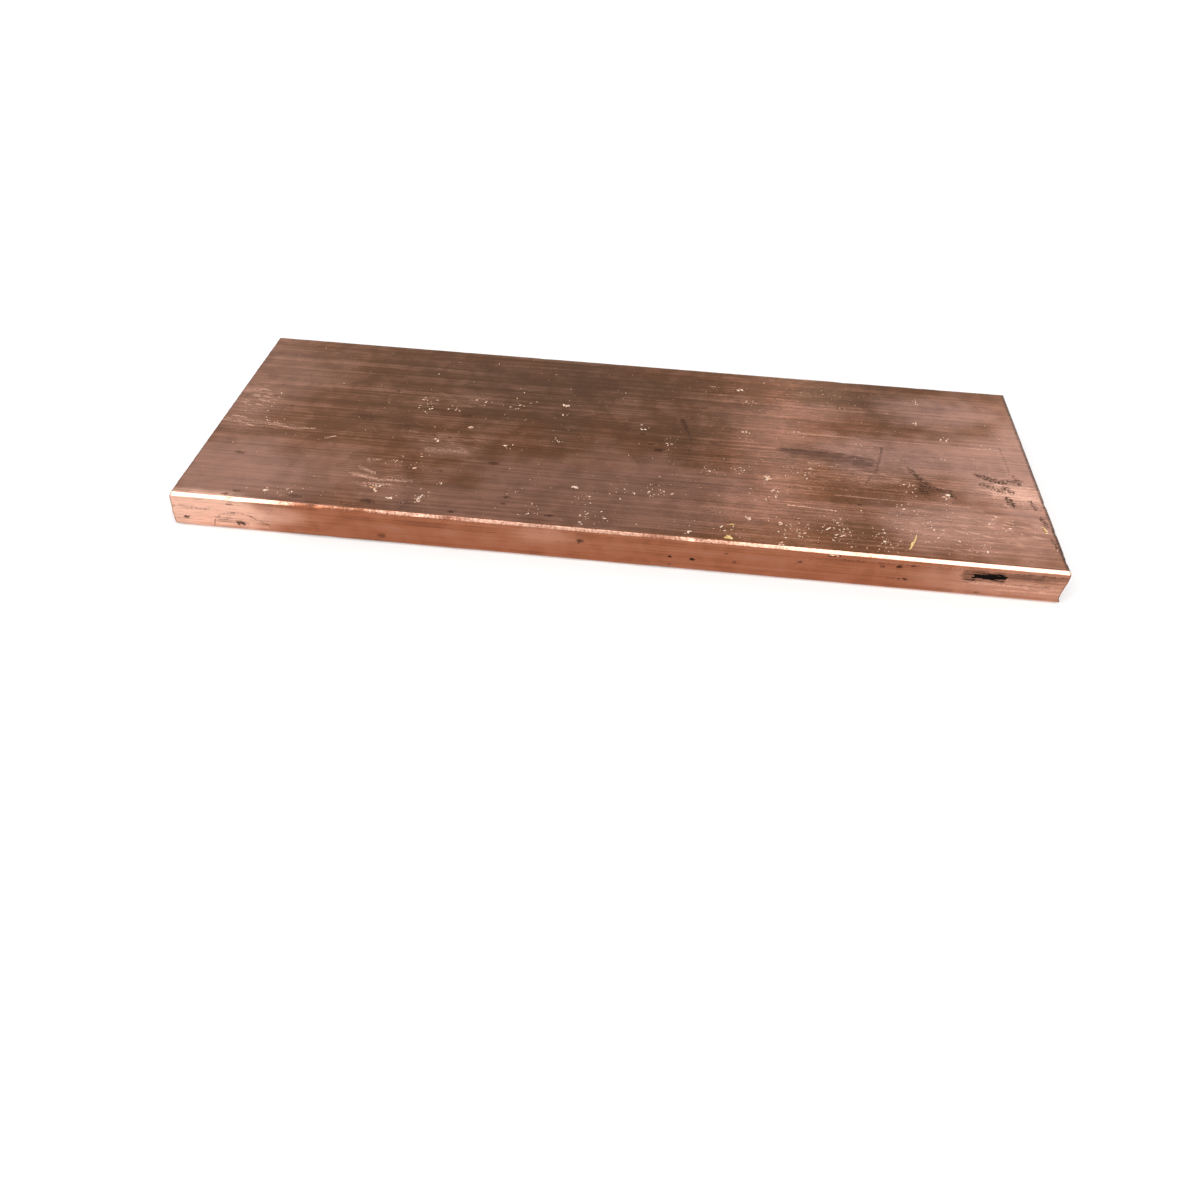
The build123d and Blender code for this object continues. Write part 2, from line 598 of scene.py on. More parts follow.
def drawing_lines_group():
    """Lines that the die drags along the bar: noise in cells that are long in X and narrow
    across it."""
    tree, nodes, given, out = new_group(
        "Drawing lines",
        [("Position", VECTOR, (0, 0, 0)), ("Length", VALUE, 60.0), ("Spacing", VALUE, 1.0)],
        [("Lines", VALUE)],
    )
    along = nodes.math("DIVIDE", 1.0, given["Length"])
    over = nodes.math("DIVIDE", 1.0, given["Spacing"])
    stretch = nodes.add("ShaderNodeCombineXYZ", {0: along, 1: over, 2: over})
    lines = nodes.noise(nodes.vector("MULTIPLY", given["Position"], stretch), 1.0, 3.0, 0.6)
    tree.links.new(nodes.between(lines, 0.28, 0.72), out["Lines"])
    return tree


def run_group():
    """A mark along a straight run: full within its half width, and gone at its reach, with noise
    added to the distance so that its outline is ragged. The foot of each point on the run is
    found from Slope, which is the run divided by the square of its length."""
    tree, nodes, given, out = new_group(
        "Mark along a run",
        [
            ("Position", VECTOR, (0, 0, 0)), ("From", VECTOR, (0, 0, 0)), ("Run", VECTOR, (1, 0, 0)),
            ("Slope", VECTOR, (1, 0, 0)), ("Half width", VALUE, 0.3), ("Reach", VALUE, 0.5),
            ("Noise", VALUE, 0.0), ("Ragged", VALUE, 0.5), ("Strength", VALUE, 1.0),
        ],
        [("Mask", VALUE)],
    )
    offset = nodes.vector("SUBTRACT", given["Position"], given["From"])
    dot = nodes.vector("DOT_PRODUCT", offset, given["Slope"], output="Value")
    share = nodes.math("MINIMUM", nodes.math("MAXIMUM", dot, 0.0), 1.0)
    foot = nodes.add("ShaderNodeVectorMath", {0: given["Run"], "Scale": share}, operation="SCALE")
    away = nodes.vector("DISTANCE", offset, foot, output="Value")
    away = nodes.times_plus(given["Noise"], given["Ragged"], away)
    mask = nodes.between(away, given["Reach"], given["Half width"], 0.0, given["Strength"])
    tree.links.new(mask, out["Mask"])
    return tree


def flecks_group():
    """Scattered flecks, one to a cell of a Voronoi pattern: each is 1 near its cell's point,
    its size differs, and only a share of the cells has one. Stretch makes them scratches and
    Turn sets their direction."""
    tree, nodes, given, out = new_group(
        "Flecks",
        [
            ("Position", VECTOR, (0, 0, 0)), ("Stretch", VECTOR, (1, 1, 1)), ("Turn", VALUE, 0.0),
            ("Size", VALUE, 0.2), ("Share", VALUE, 0.5),
        ],
        [("Mask", VALUE)],
    )
    inputs = {"Vector": given["Position"], "Angle": given["Turn"]}
    turned = nodes.add("ShaderNodeVectorRotate", inputs, rotation_type="Z_AXIS")
    cells = nodes.add(
        "ShaderNodeTexVoronoi",
        {"Vector": nodes.vector("DIVIDE", turned, given["Stretch"]), "Scale": 1.0},
        output=None,
    )
    pick = nodes.add("ShaderNodeSeparateColor", {0: cells.outputs["Color"]}, output=None)
    kept = nodes.math("LESS_THAN", pick.outputs[0], given["Share"])
    size = nodes.math("MULTIPLY", given["Size"], nodes.math("ADD", 0.3, pick.outputs[1]))
    spot = nodes.between(cells.outputs["Distance"], size, nodes.math("MULTIPLY", size, 0.4))
    tree.links.new(nodes.math("MULTIPLY", spot, kept), out["Mask"])
    return tree


def positions(nodes):
    """The point on the piece in metres, which noises take, and in millimetres."""
    metres = nodes.add("ShaderNodeTexCoord", output="Object")
    return metres, nodes.vector("MULTIPLY", metres, (1000, 1000, 1000))


def attribute(nodes, name):
    """One of the masks that the mesh carries."""
    return nodes.add("ShaderNodeAttribute", output="Fac", attribute_name=name)


class Run(NamedTuple):
    """A mark on the bar from one point to another, in millimetres: its half width, the soft rim
    around it, how far noise pushes its outline and how strong it is."""

    start: tuple
    end: tuple
    half_width: float
    rim: float
    ragged: float
    strength: float


TOP_MM = 10.0
FRONT_MM = -40.0


def on_top(from_x, from_y, to_x, to_y, *mark):
    """A run on the top face, with the rest of its numbers as Run has them."""
    return Run((from_x, from_y, TOP_MM), (to_x, to_y, TOP_MM), *mark)


def on_front(from_x, from_z, to_x, to_z, *mark):
    """A run on the front side, with the rest of its numbers as Run has them."""
    return Run((from_x, FRONT_MM, from_z), (to_x, FRONT_MM, to_z), *mark)


DARK_RUNS = (
    on_top(15.5, 11.4, 16.6, 7.6, 0.35, 0.8, 0.8, 0.8),
    on_top(16.6, 7.6, 18.4, 1.8, 0.12, 0.7, 0.6, 0.6),
    on_top(18.4, 1.8, 17.2, -9.2, 0.05, 0.6, 0.6, 0.4),
    on_top(69.0, 6.2, 66.4, -4.5, 0.05, 0.5, 0.4, 0.7),
    on_top(66.4, -4.5, 62.8, -11.5, 0.03, 0.45, 0.5, 0.5),
    on_top(71.6, -2.6, 73.4, -3.6, 0.1, 0.5, 1.0, 0.6),
    on_top(75.0, -3.0, 78.0, -9.2, 0.35, 0.6, 1.2, 0.85),
    on_top(78.0, -9.2, 77.6, -12.6, 0.9, 1.0, 2.0, 0.9),
    on_top(79.0, -11.0, 83.6, -11.6, 0.6, 0.8, 1.8, 0.8),
    on_top(83.4, -11.6, 84.8, -14.2, 0.35, 0.5, 0.8, 0.85),
    on_top(92.4, -3.4, 97.8, -5.6, 0.6, 0.7, 1.7, 0.85),
    on_top(97.8, -5.6, 102.6, -4.6, 0.6, 0.7, 1.7, 0.8),
    on_top(93.0, -7.4, 97.4, -9.6, 0.4, 0.7, 1.5, 0.75),
    on_top(98.0, -7.8, 99.6, -9.4, 0.5, 0.7, 1.2, 0.85),
    on_top(97.8, -12.2, 99.0, -15.0, 0.5, 0.7, 1.2, 0.9),
    on_top(100.6, 10.5, 100.8, -2.0, 0.0, 0.4, 0.5, 0.35),
    on_top(42.0, -15.6, 106.0, -16.4, 0.0, 0.3, 0.25, 0.65),
    on_top(32.0, -14.6, 107.0, -15.2, 0.0, 0.25, 0.3, 0.4),
    on_top(-52.0, -21.0, -50.0, -37.0, 0.5, 1.8, 1.2, 0.3),
    on_top(101.6, -2.0, 102.6, -6.0, 0.1, 0.5, 0.9, 0.7),
    on_top(103.6, -13.0, 104.4, -16.4, 0.2, 0.5, 1.2, 0.7),
    on_top(104.8, -20.0, 105.6, -23.0, 0.25, 0.5, 1.2, 0.8),
    on_top(105.6, -28.0, 106.2, -32.0, 0.15, 0.4, 0.9, 0.75),
    on_front(52.0, 8.7, 54.8, 8.7, 0.1, 0.25, 0.6, 0.85),
    on_front(-97.8, 0.8, -96.6, 3.6, 0.05, 0.25, 0.1, 0.8),
    on_front(-96.6, 3.6, -93.9, 5.4, 0.05, 0.25, 0.1, 0.8),
    on_front(-93.9, 5.4, -90.6, 5.6, 0.06, 0.25, 0.1, 0.85),
    on_front(-90.6, 5.6, -87.0, 4.6, 0.05, 0.25, 0.1, 0.8),
    on_front(-87.0, 4.6, -83.6, 2.6, 0.03, 0.25, 0.1, 0.7),
    on_front(-107.0, 3.5, -84.0, 3.1, 0.0, 0.22, 0.2, 0.55),
    on_front(-107.0, 6.3, -98.0, 6.0, 0.1, 0.4, 0.6, 0.4),
    on_front(66.7, 3.7, 70.6, 3.6, 0.03, 0.25, 0.6, 0.9),
    on_front(55.0, 7.9, 107.0, 8.1, 0.05, 0.3, 0.5, 0.5),
    on_front(94.0, 4.9, 107.0, 5.2, 0.0, 0.3, 0.4, 0.5),
)

PALE_RUNS = (
    on_top(-107.0, -6.4, -100.4, -7.3, 0.0, 0.4, 0.7, 0.8),
    on_top(-100.4, -7.3, -94.0, -6.7, 0.0, 0.35, 0.8, 0.7),
    on_top(-94.0, -6.7, -87.0, -8.0, 0.0, 0.5, 1.1, 0.8),
    on_top(-87.0, -8.0, -81.4, -7.4, 0.0, 0.45, 1.1, 0.65),
    on_top(-106.0, 8.6, -102.0, 9.2, 0.0, 0.6, 1.3, 0.6),
    on_top(-104.6, -4.2, -101.0, -4.8, 0.0, 0.5, 1.3, 0.6),
    on_top(-77.2, -11.2, -74.8, -10.0, 0.08, 0.3, 0.4, 0.95),
    on_top(-65.5, -25.6, -58.5, -27.4, 0.1, 0.5, 1.8, 0.8),
    on_top(-58.5, -27.4, -50.5, -26.8, 0.1, 0.4, 1.6, 0.8),
    on_top(-64.6, -22.6, -60.6, -24.6, 0.05, 0.5, 1.8, 0.8),
    on_top(-62.0, -29.4, -55.0, -29.0, 0.05, 0.4, 1.4, 0.8),
    on_top(-63.6, -19.2, -60.6, -18.8, 0.05, 0.4, 1.4, 0.75),
    on_top(-50.0, -12.6, -40.0, -12.0, 0.0, 1.0, 2.6, 0.5),
    on_top(43.0, -23.2, 54.5, -23.8, 0.0, 0.3, 0.5, 0.75),
    on_top(47.0, 9.8, 100.0, 9.4, 0.0, 0.28, 0.4, 0.35),
    on_top(55.0, -17.2, 88.0, -17.8, 0.0, 0.28, 0.4, 0.35),
    on_top(96.0, -10.6, 105.6, -12.4, 0.2, 2.2, 4.0, 0.65),
    on_front(86.0, 4.3, 107.0, 4.5, 0.05, 0.45, 0.8, 0.8),
    on_front(92.0, 3.0, 107.0, 3.2, 0.0, 0.35, 0.5, 0.65),
    on_front(-107.0, 5.0, -92.0, 4.4, 0.1, 0.5, 0.9, 0.7),
    on_front(-104.0, 2.2, -84.0, 1.8, 0.05, 0.5, 0.8, 0.6),
)

STAIN_RUNS = (
    on_front(86.6, 6.6, 92.4, 6.7, 0.6, 0.25, 1.3, 1.0),
    on_front(88.6, 6.1, 93.0, 6.4, 0.45, 0.2, 1.2, 1.0),
)

BROWN_RUNS = (
    on_front(92.0, 6.9, 101.5, 7.5, 0.3, 1.4, 1.2, 0.65),
    on_front(98.0, 7.3, 107.0, 7.6, 0.2, 0.9, 1.0, 0.5),
    on_front(84.6, 6.6, 92.6, 6.7, 0.8, 1.3, 1.0, 0.75),
    on_top(45.0, 1.2, 64.0, -2.2, 0.3, 4.2, 3.0, 0.75),
)

# Each spot: its place, its radius and its strength.
DARK_SPOTS = (
    (-31.8, -16.1, TOP_MM, 1.5, 0.6), (-44.5, -21.4, TOP_MM, 0.9, 0.5),
    (-26.1, -30.0, TOP_MM, 0.8, 0.7), (-26.3, -32.8, TOP_MM, 0.7, 0.7),
    (-14.6, -35.7, TOP_MM, 1.0, 0.75), (-38.0, -37.6, TOP_MM, 0.9, 0.7),
    (-59.1, -36.2, TOP_MM, 1.8, 0.6), (-76.8, -36.8, TOP_MM, 1.5, 0.5),
    (-91.4, -36.8, TOP_MM, 0.9, 0.6), (-93.6, -38.3, TOP_MM, 0.9, 0.6),
    (-96.4, -20.8, TOP_MM, 1.3, 0.5), (-43.0, 5.0, TOP_MM, 1.3, 0.5),
    (-69.1, 0.8, TOP_MM, 3.4, 0.35), (-56.8, -2.2, TOP_MM, 2.6, 0.35),
    (10.0, -3.9, TOP_MM, 1.4, 0.75), (7.7, -1.5, TOP_MM, 0.8, 0.7),
    (5.0, 3.1, TOP_MM, 0.8, 0.7), (23.8, 1.6, TOP_MM, 1.2, 0.5),
    (-90.3, FRONT_MM, 2.6, 1.2, 0.85), (-104.2, FRONT_MM, 3.1, 0.7, 0.8),
    (-92.4, FRONT_MM, 8.1, 0.7, 0.6), (-55.3, FRONT_MM, 2.7, 1.0, 0.5),
    (-6.8, FRONT_MM, 6.3, 1.0, 0.7), (14.8, FRONT_MM, 4.1, 0.6, 0.9),
    (20.3, FRONT_MM, 3.9, 0.7, 0.95), (68.5, FRONT_MM, 7.3, 0.8, 0.9),
    (64.8, FRONT_MM, 6.9, 0.7, 0.7), (71.8, FRONT_MM, 7.9, 0.6, 0.7),
    (70.8, FRONT_MM, 3.7, 0.6, 0.85), (45.6, FRONT_MM, 6.1, 0.7, 0.6),
    (30.4, FRONT_MM, 4.2, 0.6, 0.5), (88.0, FRONT_MM, 1.6, 0.6, 0.4),
)


def drift(nodes, metres):
    """A wandering offset of up to half a millimetre or so, which bends straight marks."""
    inputs = {"Vector": metres, "Scale": 0.6 / MM, "Detail": 3.0}
    noise = nodes.add("ShaderNodeTexNoise", inputs, "Color")
    parts = nodes.add("ShaderNodeSeparateColor", {0: noise}, output=None).outputs
    offset = nodes.add("ShaderNodeCombineXYZ", {0: parts[0], 1: parts[1], 2: parts[2]})
    return nodes.vector("MULTIPLY", nodes.vector("SUBTRACT", offset, (0.5, 0.5, 0.5)), (1.3, 1.3, 0.9))


def strongest(nodes, masks):
    """The largest of several masks, taken up one by one as they are made."""
    total = 0.0
    for mask in masks:
        total = nodes.math("MAXIMUM", mask, total)
    return total


def runs(nodes, group, position, noise, places):
    """The masks of several runs, each ragged by the noise to its own degree."""
    for place in places:
        start = Vector(place.start)
        run = Vector(place.end) - start
        yield nodes.group(group, {
            "Position": position, "From": start, "Run": run, "Slope": run / run.length_squared,
            "Half width": place.half_width, "Reach": place.half_width + place.rim,
            "Noise": noise, "Ragged": place.ragged, "Strength": place.strength,
        })


def spots(nodes, position, noise, places):
    """The masks of several spots with soft, uneven rims, drawn out along the bar."""
    drawn = np.array([0.7, 1.5, 1.3])
    position = nodes.vector("MULTIPLY", position, drawn)
    for x, y, z, radius, strength in places:
        away = nodes.vector("DISTANCE", position, drawn * (x, y, z), output="Value")
        away = nodes.times_plus(noise, radius, away)
        yield nodes.between(away, radius, 0.35 * radius, 0.0, strength)


def copper_material(finish):
    """The bar's metal: a brown film that varies over the faces, lined along the bar, thinner and pinker
    towards the ends and rubbed off the edges, with scuffs, spots and stains on it.
    The pinker ends and a darker greenish-brown middle are partly film and partly painted reflection and
    painted shade, the bright ends of the front side are painted sheen, the rubbed edges are partly a
    painted highlight and the darkened rims of the cut ends are partly painted shade.
    The tint keeps it brown where it is seen at a low angle, as the film does."""
    lines_of, run_of, flecks_of = drawing_lines_group(), run_group(), flecks_group()
    material = bpy.data.materials.new("drawn_copper")
    material.use_nodes = True
    nodes = Nodes(material.node_tree)
    shader = material.node_tree.nodes["Principled BSDF"]
    metres, place = positions(nodes)

    blotch = nodes.noise(metres, 0.16 / MM, 4.0, 0.6, 0.4)
    grit = nodes.noise(metres, 1.6 / MM, 3.0, 0.65)
    wide_lines = nodes.group(lines_of, {"Position": place, "Length": 110.0, "Spacing": 2.2})
    fine_lines = nodes.group(lines_of, {"Position": place, "Length": 60.0, "Spacing": 0.44})
    hair_lines = nodes.group(lines_of, {"Position": place, "Length": 12.0, "Spacing": 0.16})

    # The greenish-brown patches darken the middle: partly older film, partly painted shade.
    film = nodes.mix(attribute(nodes, "olive_and_shade"), finish.film, finish.olive_and_shade)
    # The pinkish patches make the ends lighter: partly thin film, partly painted reflection.
    film = nodes.mix(attribute(nodes, "rose_and_sheen"), film, finish.rose_and_sheen)
    film = nodes.mix(attribute(nodes, "side"), film, finish.side)
    # Painted sheen: bare copper colour where the ends of the front side look brightly lit.
    film = nodes.mix(attribute(nodes, "painted_sheen"), film, finish.bare)

    lined = nodes.math("MULTIPLY", nodes.math("SUBTRACT", wide_lines, 0.5), 0.65)
    fine_part = nodes.math("SUBTRACT", fine_lines, 0.5)
    lined = nodes.math("ADD", lined, nodes.math("MULTIPLY", fine_part, 1.15))
    hair_part = nodes.math("SUBTRACT", hair_lines, 0.5)
    lined = nodes.math("ADD", lined, nodes.math("MULTIPLY", hair_part, 0.6))
    lined = nodes.math("ADD", lined, nodes.between(blotch, 0.3, 0.7, -0.4, 0.4))
    lighter = nodes.math("MAXIMUM", lined, 0.0)
    # Drawing lines darken more within the painted sheen.
    depth = nodes.times_plus(attribute(nodes, "painted_sheen"), -0.25, -0.42)
    darker = nodes.math("MULTIPLY", nodes.math("MINIMUM", lined, 0.0), depth)
    film = nodes.mix(nodes.math("MULTIPLY", lighter, 0.22), film, finish.side)
    film = nodes.mix(nodes.math("MULTIPLY", lighter, 0.2), film, finish.rose_and_sheen)
    film = nodes.mix(nodes.math("MULTIPLY", lighter, 0.06), film, finish.bare)
    film = nodes.mix(darker, film, finish.rust_brown)

    scuff = attribute(nodes, "scuff")
    scratch = nodes.between(nodes.math("MULTIPLY", hair_lines, nodes.math("ADD", grit, 0.5)), 0.62, 0.95)
    scuff_flecks = nodes.group(flecks_of, {
        "Position": place, "Stretch": (3.5, 0.7, 1.0), "Turn": 0.25, "Size": 0.5, "Share": 0.5,
    })
    scratch = nodes.math("MULTIPLY", nodes.math("MAXIMUM", scratch, scuff_flecks), scuff)
    dust = nodes.group(flecks_of, {
        "Position": place, "Stretch": (0.9, 0.9, 0.9), "Size": 0.13, "Share": 0.25,
    })
    # Rubbed edges take bare copper colour: partly real rubbing, partly a painted highlight along the
    # front edge.
    edge_wear_and_highlight = nodes.math("ADD", attribute(nodes, "edge_wear_and_highlight"), nodes.math("MULTIPLY", grit, 0.8))
    polish_and_highlight = nodes.between(edge_wear_and_highlight, 0.75, 1.2, 0.0, 0.95)
    pale = nodes.noise(metres, 2.1 / MM, 3.0, 0.7)
    pale = nodes.between(pale, 0.25, 0.75, -0.5, 0.5)
    pale_runs = strongest(nodes, runs(nodes, run_of, place, pale, PALE_RUNS))
    pale_runs = nodes.math("MULTIPLY", pale_runs, nodes.between(hair_lines, 0.25, 0.7, 0.15, 0.8))
    bright = strongest(nodes, [
        polish_and_highlight, nodes.math("MULTIPLY", scratch, 0.55), nodes.math("MULTIPLY", dust, 0.45), pale_runs,
    ])
    metal = nodes.mix(bright, film, finish.bare)

    torn = attribute(nodes, "torn")
    torn_tone = nodes.mix(nodes.between(grit, 0.3, 0.7, 0.0, 0.55), finish.torn, finish.rust_brown)
    metal = nodes.mix(nodes.math("MULTIPLY", torn, 0.85), metal, torn_tone)
    metal = nodes.mix(nodes.math("MULTIPLY", attribute(nodes, "land"), 0.7), metal, finish.side)

    # The rim of each cut end is darkened: partly dirt and partly painted shade, which hides the lamps'
    # reflection in the rolled edge.
    rim_dirt_and_shade = nodes.math("MULTIPLY", attribute(nodes, "rim"), nodes.between(grit, 0.35, 0.65, 0.25, 0.8))
    metal = nodes.mix(rim_dirt_and_shade, metal, finish.stain)

    moved = nodes.vector("ADD", place, drift(nodes, metres))
    ragged = nodes.between(nodes.noise(metres, 1.1 / MM, 4.0, 0.7), 0.25, 0.75, -0.5, 0.5)
    dark = strongest(nodes, runs(nodes, run_of, moved, ragged, DARK_RUNS))
    dark = nodes.math("MULTIPLY", dark, nodes.between(grit, 0.42, 0.56, 0.15, 1.0))
    dark = strongest(nodes, [dark, strongest(nodes, spots(nodes, place, ragged, DARK_SPOTS))])
    pits_mask = nodes.group(flecks_of, {
        "Position": place, "Stretch": (6.5, 5.0, 2.2), "Size": 0.1, "Share": 0.4,
    })
    dark = nodes.math("MAXIMUM", dark, nodes.math("MULTIPLY", pits_mask, 0.6))
    streaky = nodes.noise(nodes.vector("MULTIPLY", metres, (0.25, 1.0, 1.8)), 1.1 / MM, 3.0, 0.6)
    streaky = nodes.between(streaky, 0.25, 0.75, -0.5, 0.5)
    brown = strongest(nodes, runs(nodes, run_of, moved, streaky, BROWN_RUNS))
    brown = nodes.math("MULTIPLY", brown, nodes.math("ADD", 0.4, fine_lines), clamp=True)
    metal = nodes.mix(brown, metal, finish.rust_brown)
    metal = nodes.mix(dark, metal, finish.rust_brown)
    metal = nodes.mix(nodes.math("MULTIPLY", nodes.math("POWER", dark, 4.0), 0.55), metal, finish.stain)
    black = strongest(nodes, runs(nodes, run_of, moved, streaky, STAIN_RUNS))
    metal = nodes.mix(black, metal, finish.stain)

    dirt = nodes.math("MAXIMUM", dark, black)
    roughness = nodes.between(fine_lines, 0.0, 1.0, 0.13, 0.18)
    roughness = nodes.math("ADD", roughness, nodes.math("MULTIPLY", torn, 0.2))
    roughness = nodes.math("ADD", roughness, nodes.math("MULTIPLY", dirt, 0.3), clamp=True)

    height = nodes.math("MULTIPLY", fine_lines, 0.6)
    height = nodes.math("ADD", height, nodes.math("MULTIPLY", hair_lines, 0.4))
    height = nodes.math("ADD", height, nodes.math("MULTIPLY", grit, nodes.math("MULTIPLY", torn, 3.0)))
    bump = nodes.add("ShaderNodeBump", {"Strength": 0.6, "Distance": 0.04 * MM, "Height": height})
    across = nodes.add("ShaderNodeTangent", direction_type="UV_MAP", uv_map="across_lines")

    links = material.node_tree.links
    links.new(metal, shader.inputs["Base Color"])
    links.new(roughness, shader.inputs["Roughness"])
    links.new(bump, shader.inputs["Normal"])
    links.new(across, shader.inputs["Tangent"])
    shader.inputs["Metallic"].default_value = 1.0
    shader.inputs["Anisotropic"].default_value = 0.9
    shader.inputs["Specular Tint"].default_value = (0.8, 0.76, 0.72, 1)
    return material


class COPPERBAR_OT_bar(bpy.types.Operator):
    """Make the bar's surface, with its rubbed edges, dents and torn ends"""

    bl_idname = "copper_bar.make_bar"
    bl_label = "Make Bar"

    def execute(self, context):
        scene, shape = context.scene, context.scene.bar_shape
        grid = bar_grid(shape.long_edge_radius, shape.flat_angle)
        mesh = grid_mesh("copper_bar_skin", grid)
        points, looks = read_points(mesh)
        on_end, on_land, torn = end_zones(points)
        masks = {
            # Rubbed edges, partly a painted highlight.
            "edge_wear_and_highlight": rubbed_edges_and_highlight(points, looks) * (1 - on_end),
            # Rim of each cut end, darkened in the material: partly dirt, partly painted shade.
            "rim": end_rims(points) * (1 - on_end),
            "torn": torn,
            "land": on_land,
            "side": smooth_step(0.4, 0.9, np.abs(looks[:, 1])) * (1 - on_end),
            # Greenish-brown patches: partly older film, partly painted shade.
            "olive_and_shade": soft_patches(points, OLIVE_AND_SHADE_PATCHES, 41),
            # Pinkish patches: partly thin film, partly painted reflection.
            "rose_and_sheen": soft_patches(points, ROSE_AND_SHEEN_PATCHES, 43),
            "scuff": soft_patches(points, SCUFF_PATCHES, 45),
            # Painted sheen on the ends of the front side.
            "painted_sheen": soft_patches(points, PAINTED_SHEEN_PATCHES, 47),
        }
        for name, values in masks.items():
            set_attribute(mesh, name, values)
        lay_lines_out(mesh)
        moved = points + looks * bar_relief(points, looks, shape)[:, None]
        mesh.vertices.foreach_set("co", moved.astype(np.float32).ravel())
        mesh.update()
        mesh.shade_smooth()
        mesh.set_sharp_from_angle(angle=radians(50))
        bar = show_piece("copper_bar_skin", mesh, copper_material(scene.bar_finish))
        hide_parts("copper_bar")
        return {"FINISHED"}


def chip_mesh(name, places, sizes, rng):
    """Flat chips as one mesh: each is an eight-sided lump of three rings, squashed, turned and
    pushed about at random, and set down at its place."""
    count = len(places)
    turns = np.linspace(0, 2 * np.pi, 8, endpoint=False)
    ring = np.stack([np.cos(turns), np.sin(turns), np.zeros(8)], axis=1)
    lump = np.concatenate([
        ring * [0.6, 0.6, 1] + [0, 0, -0.5],
        ring,
        ring * [0.6, 0.6, 1] + [0, 0, 0.5],
        [[0, 0, -0.6], [0, 0, 0.6]],
    ])
    shapes = lump[None] * rng.uniform(0.7, 1.3, (count, len(lump), 1))
    shapes *= np.stack([
        rng.uniform(0.7, 2.2, count), rng.uniform(0.5, 1.0, count), rng.uniform(0.25, 0.5, count)
    ], axis=1)[:, None]
    shapes *= sizes[:, None, None]
    angle = rng.uniform(0, 2 * np.pi, count)
    cosine, sine = np.cos(angle)[:, None], np.sin(angle)[:, None]
    x = shapes[..., 0] * cosine - shapes[..., 1] * sine
    y = shapes[..., 0] * sine + shapes[..., 1] * cosine
    points = np.stack([x, y, shapes[..., 2]], axis=2) + places[:, None]
    faces = []
    for side in range(8):
        after = (side + 1) % 8
        faces += [(24, after, side), (25, 16 + side, 16 + after)]
        faces += [(side, after, 8 + after), (side, 8 + after, 8 + side)]
        faces += [(8 + side, 8 + after, 16 + after), (8 + side, 16 + after, 16 + side)]
    faces = np.array(faces)[None] + len(lump) * np.arange(count)[:, None, None]
    mesh = bpy.data.meshes.new(name)
    mesh.from_pydata(points.reshape(-1, 3).tolist(), [], faces.reshape(-1, 3).tolist())
    return mesh


# Each cluster in millimetres: its place across the top face, its spread, how many chips and
# their size against the middle one.
CHIP_CLUSTERS = (
    (-84.5, -35.3, 1.0, 4, 1.9), (-79.0, -35.0, 2.5, 12, 1.0), (-59.1, -30.7, 2.2, 13, 1.4),
    (-52.0, -19.5, 4.5, 13, 1.0), (-57.2, -19.1, 1.5, 7, 1.1), (-47.2, -33.0, 2.2, 18, 1.4),
    (-54.1, -34.5, 1.0, 4, 1.5), (-56.2, 11.6, 0.8, 3, 1.6), (-54.0, 8.5, 3.5, 12, 1.1),
    (-46.8, 8.1, 1.8, 9, 1.2), (-39.5, 13.5, 3.0, 12, 1.0), (-30.0, 12.5, 5.0, 13, 1.0),
    (-16.5, 14.0, 1.0, 9, 1.8), (-15.8, 9.0, 1.2, 4, 1.0), (-50.3, -1.9, 0.4, 1, 1.8),
    (-40.7, -0.7, 1.0, 4, 1.2), (-48.0, -7.5, 1.2, 6, 1.1), (-29.5, -7.6, 1.8, 6, 1.3),
    (-16.9, -4.0, 1.4, 7, 1.1), (-10.0, -23.4, 0.7, 6, 2.0), (-8.0, -28.0, 3.5, 18, 0.9),
    (-43.4, -26.8, 0.8, 4, 1.2), (-4.0, -35.5, 4.0, 18, 1.0), (-20.0, -34.0, 3.0, 9, 1.0),
    (-96.5, 4.0, 4.0, 12, 1.0), (-94.0, -3.5, 4.0, 9, 1.0), (4.8, 6.0, 1.5, 9, 1.0),
    (13.0, 0.0, 2.5, 12, 0.9), (10.5, -21.5, 3.0, 24, 1.0), (2.0, -24.0, 3.0, 12, 0.9),
    (32.6, 8.1, 1.0, 6, 1.3), (31.5, 30.0, 0.8, 4, 1.3), (23.4, 30.5, 1.4, 7, 1.3),
    (33.8, 23.5, 1.8, 6, 1.1), (37.6, -12.5, 1.2, 13, 1.6), (40.0, -18.0, 2.5, 18, 1.0),
    (31.5, -10.0, 2.5, 13, 0.9), (23.0, -11.0, 3.0, 15, 0.9), (33.0, -30.0, 0.8, 6, 1.5),
    (79.1, 19.4, 0.8, 4, 1.7), (81.0, 31.2, 1.4, 7, 1.2), (86.8, 12.5, 1.6, 7, 1.3),
    (84.9, 2.7, 1.0, 4, 1.4), (46.0, 10.6, 0.8, 4, 1.4), (63.0, 6.5, 1.4, 6, 1.1),
    (48.0, -8.5, 5.0, 24, 0.9), (74.0, -11.0, 2.5, 15, 1.1), (82.5, -13.8, 1.2, 7, 1.5),
    (44.0, -33.0, 4.0, 39, 1.0), (55.0, -32.0, 6.0, 60, 0.9), (66.0, -34.0, 5.0, 51, 0.9),
    (76.0, -29.0, 6.0, 36, 0.9), (72.0, -23.0, 8.0, 30, 0.9), (88.0, -34.0, 6.0, 24, 0.9),
    (96.5, -24.5, 5.0, 15, 1.0), (105.0, -24.5, 1.0, 7, 1.5), (106.2, -32.5, 0.6, 3, 1.8),
    (18.4, -37.8, 1.8, 9, 1.3), (40.5, -38.6, 1.6, 9, 1.3), (28.0, -36.0, 4.0, 15, 1.0),
)


